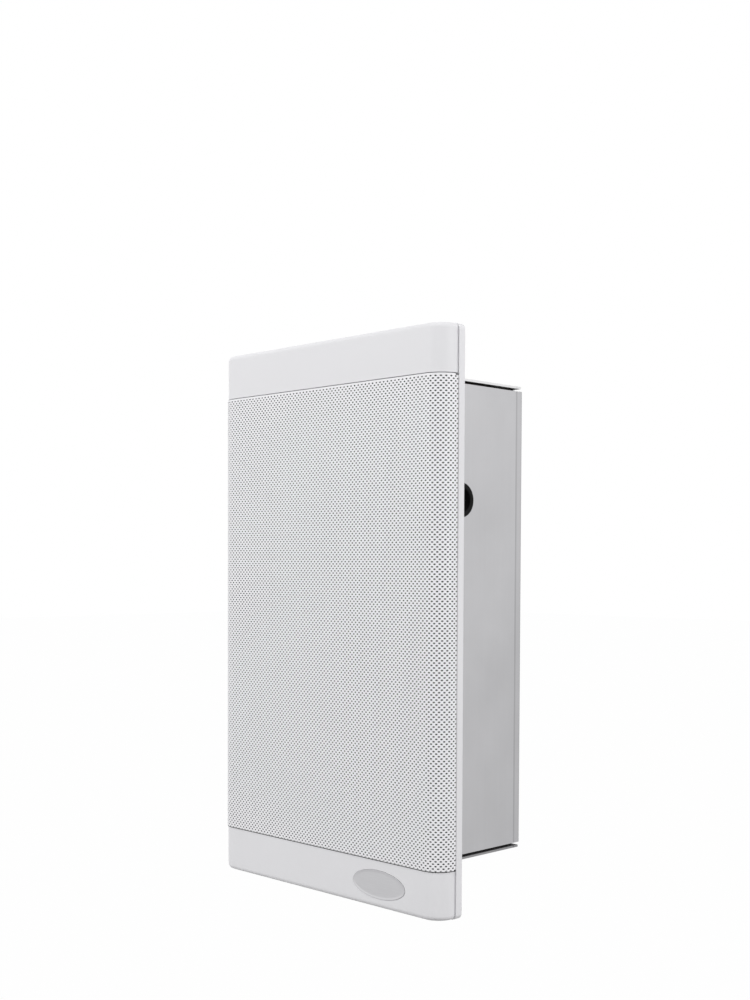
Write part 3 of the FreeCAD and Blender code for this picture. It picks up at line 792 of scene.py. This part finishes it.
def badge():
    middle, size = (badge_low + badge_high) / 2, badge_high - badge_low
    bpy.ops.mesh.primitive_cylinder_add(vertices=96, radius=0.5, depth=1, rotation=UPRIGHT, location=middle)
    bpy.context.object.scale = (size.x, size.z, size.y)
    plate = fresh("badge_plate")

    def faces_front(middle, normal):
        return normal.y < -0.9

    pick(plate, "FACE", faces_front)
    bpy.ops.mesh.inset(thickness=BADGE_RIM)
    bpy.ops.transform.translate(value=(0, DISH_DEPTH, 0))
    bpy.ops.mesh.inset(thickness=DISH_SLOPE)
    soften(plate, BADGE_ROUND, 3)
    place(plate, SHELL, "silver_plate", SILVER_PLATE, "badge")


badge()

# %% [markdown]
# ## The rubber ring
# The cable goes through a grommet: a ring with a lip on each side of the sheet. It starts as a cylinder
# along X. Its ends are inset and bridged to open the bore, and two bisect cuts mark the groove for the
# sheet. Past the cuts the bore is scaled in, so that the cable is held deep inside and the mouth stays
# wide, and the groove is pushed in. A wide bevel gives the rubber its fat lips.

# %% Grommet
ring_low, ring_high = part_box("cable_grommet")
tray_side = tray_high.x
TRAY_SHEET, SHEET_CLEAR = 1.2 * MM, 0.05 * MM
MOUTH_R, BORE_R, NECK_R, LIP_ROUND = 6.3 * MM, 5.3 * MM, 7.4 * MM, 0.6 * MM


def grommet():
    middle, size = (ring_low + ring_high) / 2, ring_high - ring_low
    outer = size.z / 2
    bpy.ops.mesh.primitive_cylinder_add(
        vertices=64, radius=outer, depth=size.x, rotation=(0, math.pi / 2, 0), location=middle)
    ring = fresh("rubber_grommet")

    def is_end(middle, normal):
        return abs(normal.x) > 0.9

    pick(ring, "FACE", is_end)
    bpy.ops.mesh.inset(thickness=outer - MOUTH_R, use_individual=True)
    bpy.ops.mesh.bridge_edge_loops()
    for x in (tray_side - TRAY_SHEET - SHEET_CLEAR, tray_side + SHEET_CLEAR):
        pick_all(ring)
        bpy.ops.mesh.bisect(plane_co=(x, 0, 0), plane_no=(1, 0, 0), threshold=SNAP_WITHIN)

    def from_axis(co):
        return math.hypot(co.y - middle.y, co.z - middle.z)

    def in_groove(centre, normal):
        in_wall = abs(centre.x - (tray_side - TRAY_SHEET / 2)) < TRAY_SHEET / 2
        return in_wall and from_axis(centre) > 0.9 * outer

    def in_throat(centre, normal):
        return centre.x < tray_side - TRAY_SHEET and from_axis(centre) < 1.01 * MOUTH_R

    pick(ring, "FACE", in_throat)
    bpy.ops.transform.resize(value=(1, BORE_R / MOUTH_R, BORE_R / MOUTH_R), center_override=middle)
    pick(ring, "FACE", in_groove)
    bpy.ops.mesh.extrude_region_shrink_fatten(TRANSFORM_OT_shrink_fatten={"value": NECK_R - outer})
    soften(ring, LIP_ROUND, 4, 40)
    place(ring, SHELL, "black_rubber", BLACK_RUBBER, "cable_grommet")


grommet()

# %% [markdown]
# ## What the cloth hides
# Behind the cloth sits a small cone driver. Its paper is pressed from wet pulp, so it shows fibres and
# clouds. The cap is felt. The basket is dipped in black paint, the motor's plates are plain steel and the
# magnet is dull ferrite. One recipe serves most of these: noise that mixes two tones, moves the roughness
# and gives a fine relief.

# %% One recipe for the plain materials
def speckled(name, dark, light, grain, rough, relief, **constants):
    """Two tones mixed by noise; grain is the noise's scale and relief its height in mm."""
    f = Finish(name, **constants)
    at = f.spot()
    fine = f.noise(at, grain, 4.0, 0.6)
    cloud = f.noise(at, grain / 12, 2.0)
    shade = fine * 0.6 + cloud * 0.4
    f.wire(Base_Color=f.mix(shade, dark, light), Roughness=shade * 0.2 + rough)
    f.bump(fine, relief * MM, 0.5)
    return f.material


def striped(name, dark, light, axis, pitch, rough, **constants):
    """Fine stripes across an axis, for wire turns and stacked plates."""
    f = Finish(name, **constants)
    at = f.spot()
    lines = f.stripes(at, axis, STRIPE / (pitch * MM))
    cloud = f.noise(at, 90.0)
    shade = lines * 0.6 + cloud * 0.4
    f.wire(Base_Color=f.mix(shade, dark, light), Roughness=shade * 0.15 + rough)
    f.bump(lines, 0.1 * MM, 0.6)
    return f.material


print("recipes ready")

# %% Finishes of the inner parts
ZINC = ((0.44, 0.44, 0.41, 1), (0.58, 0.57, 0.52, 1))
TIN = ((0.50, 0.44, 0.30, 1), (0.64, 0.58, 0.44, 1))
COPPER = ((0.30, 0.10, 0.04, 1), (0.62, 0.27, 0.13, 1))
LAMINATE = ((0.10, 0.04, 0.015, 1), (0.18, 0.08, 0.03, 1))
VARNISH = ((0.34, 0.20, 0.04, 1), (0.52, 0.34, 0.08, 1))
STEATITE = ((0.66, 0.63, 0.55, 1), (0.74, 0.71, 0.64, 1))
FINISHES = {
    "driver_cone": speckled("pulp_paper", grey(0.020), grey(0.060), 900.0, 0.72, 0.04),
    "driver_dust_cap": speckled("felt_disc", grey(0.010), grey(0.045), 1500.0, 0.85, 0.15, Sheen_Weight=0.3),
    "driver_voice_coil": striped("copper_turns", *COPPER, "Y", 0.3, 0.3, Metallic=1.0),
    "driver_basket": speckled("dipped_black", grey(0.010), grey(0.022), 600.0, 0.38, 0.03),
    "driver_top_plate": speckled("plate_steel", grey(0.36), grey(0.48), 500.0, 0.36, 0.02, Metallic=1.0),
    "driver_pole_yoke": speckled("yoke_steel", grey(0.36), grey(0.48), 500.0, 0.36, 0.02, Metallic=1.0),
    "driver_magnet": speckled("ferrite", grey(0.020), grey(0.045), 800.0, 0.62, 0.04),
    "driver_terminal_board": speckled("brown_laminate", *LAMINATE, 700.0, 0.5, 0.02),
    "driver_terminal_tags": speckled("tinned_tags", *TIN, 700.0, 0.3, 0.01, Metallic=1.0),
    "driver_screws": speckled("zinc_screws", *ZINC, 900.0, 0.34, 0.01, Metallic=1.0),
    "frame_screws": speckled("zinc_bolts", *ZINC, 900.0, 0.34, 0.01, Metallic=1.0),
    "transformer_core": striped("stacked_plates", grey(0.10), grey(0.24), "Z", 0.5, 0.4, Metallic=1.0),
    "transformer_winding": striped("varnished_tape", *VARNISH, "Y", 6.0, 0.35),
    "transformer_bracket": speckled("zinc_strap", *ZINC, 400.0, 0.36, 0.02, Metallic=1.0),
    "terminal_block": speckled("steatite", *STEATITE, 500.0, 0.32, 0.02),
    "terminal_screws": speckled("clamp_heads", *TIN, 900.0, 0.3, 0.01, Metallic=1.0),
}
for node, finish in FINISHES.items():
    nodes[node].data.materials.clear()
    nodes[node].data.materials.append(finish)
print(len(FINISHES), "inner parts finished")

# %% [markdown]
# ## The parts that flex
# The cone hangs in two rings of stiffened cloth, the pleated edge at the front and the corrugated spider at
# the coil. Their outer rim is glued to the basket and their inner rim to the cone, so the weight that
# follows the cone grows from nothing outside to one inside. Each is a line of points spun round the
# driver's axis.

# %% Pleated edge and spider
cone_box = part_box("driver_cone")
AXIS_Z = (cone_box[0].z + cone_box[1].z) / 2
GLUED_SHARE = 0.12         # of a ring's width, at its inner and at its outer edge


def spun(name, points, steps):
    """Spin a line of (radius, y) points in mm round the driver's axis."""
    bpy.ops.mesh.primitive_plane_add(size=1 * MM, location=(points[0][0] * MM, points[0][1] * MM, AXIS_Z))
    piece = fresh(name)
    pick(piece, "VERT", lambda co: True)
    bpy.ops.mesh.merge(type="CENTER")
    for (r0, y0), (r1, y1) in zip(points, points[1:]):
        step = ((r1 - r0) * MM, (y1 - y0) * MM, 0)
        bpy.ops.mesh.extrude_region_move(TRANSFORM_OT_translate={"value": step})
    bpy.ops.mesh.select_all(action="SELECT")
    bpy.ops.mesh.spin(steps=steps, angle=2 * math.pi, center=(0, 0, AXIS_Z), axis=(0, 1, 0))
    bpy.ops.mesh.select_all(action="SELECT")
    bpy.ops.mesh.remove_doubles(threshold=JOIN_WITHIN)
    face_out(piece)
    return piece


def rippled(r0, r1, y, height, ripples):
    """Points of a smooth ripple from radius r0 to r1."""
    count = ripples * 8
    return [(r0 + (r1 - r0) * k / count, y - height * (1 - math.cos(2 * math.pi * ripples * k / count)) / 2)
            for k in range(count + 1)]


def flexing(name, points, thickness, finish, node):
    """A spun cloth ring that is still at its outer edge and follows the cone at its inner edge."""
    ring = spun(name, points, 72)
    apply_modifier(ring, "SOLIDIFY", thickness=thickness, offset=-1.0)
    smooth(ring, 50)
    ring.data.materials.append(finish)
    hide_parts(node)
    outer, inner = max(r for r, y in points) * MM, min(r for r, y in points) * MM
    held = outer - GLUED_SHARE * (outer - inner)
    glued = inner + GLUED_SHARE * (outer - inner)
    ys = [v.co.y for v in ring.data.vertices]
    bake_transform(ring, SHELL, CONE, (0, min(ys), AXIS_Z), (0, max(ys), AXIS_Z))
    weights = ring.data.attributes["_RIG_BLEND"]
    for v, weight in zip(ring.data.vertices, weights.data):
        radius = math.hypot(v.co.x, v.co.z - AXIS_Z)
        weight.value = min(1.0, max(0.0, (held - radius) / (held - glued)))
    report(ring)


EDGE_CLOTH = woven("edge_weave", (0.030, 0.024, 0.016, 1), (0.075, 0.060, 0.042, 1), (350.0, 350.0), "Object")
PLEAT_Y, SPIDER_Y = -4.5, 19.6
pleats = [(55.4, PLEAT_Y), (49.6, PLEAT_Y)] + rippled(49.0, 45.2, PLEAT_Y, 1.9, 2)
pleats += [(44.6, PLEAT_Y), (42.2, PLEAT_Y)]
flexing("pleated_edge", pleats, 0.4 * MM, EDGE_CLOTH, "driver_surround")
waves = [(33.8, SPIDER_Y), (30.5, SPIDER_Y)] + rippled(30.0, 16.0, SPIDER_Y, 1.2, 4)
waves += [(15.5, SPIDER_Y), (13.2, SPIDER_Y)]
flexing("coil_spider", waves, 0.35 * MM, EDGE_CLOTH, "driver_spider")

# %% [markdown]
# ## The wadding
# A pad of white fibre wadding lies on the rear panel and calms the air in the tray. It is never quite flat.
# A copy of its block is remeshed to an even net, pushed in by cloudy noise and smoothed.

# %% Damping pad
NET, LUMP_W, LUMP_D = 2.4 * MM, 18 * MM, 2.0 * MM


def wadding():
    f = Finish("fibre_wadding", Sheen_Weight=0.4)
    at = f.spot()
    fibre = f.noise(f.stretched(at, (1.0, 0.3, 1.0)), 500.0, 6.0, 0.7)
    f.wire(Base_Color=f.mix(fibre, grey(0.52), grey(0.72)), Roughness=fibre * 0.1 + 0.85)
    f.bump(fibre, 0.5 * MM, 0.8)
    pad = own_copy("damping_pad", "fibre_pad")
    apply_modifier(pad, "REMESH", mode="VOXEL", voxel_size=NET)
    lumps = bpy.data.textures.new("lumps", "CLOUDS")
    lumps.noise_scale = LUMP_W
    apply_modifier(pad, "DISPLACE", texture=lumps, strength=LUMP_D, mid_level=1.0, texture_coords="GLOBAL")
    apply_modifier(pad, "SMOOTH", factor=0.5, iterations=4)
    smooth(pad, 80)
    place(pad, SHELL, "wadding", f.material, "damping_pad")


wadding()

# %% [markdown]
# ## Floor, light and white backdrop
# The speaker hangs in a wall, so the floor lies well below it. The world is an even white to look at and in
# what shines, and a little dimmer as a light. The floor is a grey that keeps the shadow and darkens the
# light from below, but a camera ray sees almost pure white there, and a ray that leaves a shiny surface
# sees most of it. Two large lamps, one before the front and one beside the tray, stand a little high and
# give the slow fall of light to the bottom.

# %% Stage
FLOOR_Z, FLOOR_SIZE = -0.55, 24
FLOOR_SEEN, FLOOR_MIRRORED = 0.99, 0.75
SKY_LIGHT, SKY_FALL = 0.97, 0.40


def backdrop():
    """A world that is white to look at; as a light it is a little dimmer, most of all overhead."""
    world = bpy.context.scene.world or bpy.data.worlds.new("studio")
    bpy.context.scene.world = world
    world.use_nodes = True
    sky = Drawing(world.node_tree)
    up = sky.node("ShaderNodeClamp", {}, {"Value": sky.part_of(sky.spot("Generated"), "Z")})
    light = SKY_LIGHT - up * SKY_FALL
    seen = sky.ray("Camera") + sky.ray("Glossy") + sky.ray("Transmission")
    strength = light + seen * (1.0 - light)
    background = sky.tree.nodes["Background"]
    background.inputs["Color"].default_value = (1, 1, 1, 1)
    sky.tree.links.new(strength.socket, background.inputs["Strength"])


def floor():
    bpy.ops.mesh.primitive_plane_add(size=FLOOR_SIZE, location=(0, 0, FLOOR_Z))
    plane = fresh("floor")
    f = Finish("pale_floor", Roughness=0.9)
    f.wire(Base_Color=f.mix(f.noise(f.spot(), 3.0), grey(0.24), grey(0.27)))
    glow = f.node("ShaderNodeEmission", {}, {"Color": (1, 1, 1, 1), "Strength": 1.0})
    white = (f.ray("Camera") + f.ray("Transmission")) * FLOOR_SEEN + f.ray("Glossy") * FLOOR_MIRRORED
    mixed = f.node("ShaderNodeMixShader", {}, {0: white, 1: Wire(f, f.shader.outputs[0]), 2: glow})
    f.tree.links.new(mixed.socket, f.tree.nodes["Material Output"].inputs["Surface"])
    plane.data.materials.append(f.material)


def lamp(name, at, aim, size, watts):
    light = bpy.data.lights.new(name, "AREA")
    light.shape, light.size, light.energy = "DISK", size, watts
    made = bpy.data.objects.new(name, light)
    bpy.context.scene.collection.objects.link(made)
    made.location = at
    made.rotation_euler = (Vector(aim) - Vector(at)).to_track_quat("-Z", "Y").to_euler()


backdrop()
floor()
LAMP_SIZE = 0.9
lamp("front_softbox", (-0.55, -1.2, 0.5), (0, 0, 0), LAMP_SIZE, 7.7)
lamp("side_softbox", (1.36, 0.12, 0.5), (0.07, 0.03, 0), LAMP_SIZE, 7.6)
bpy.context.scene.view_settings.view_transform = "Standard"
print("stage set")
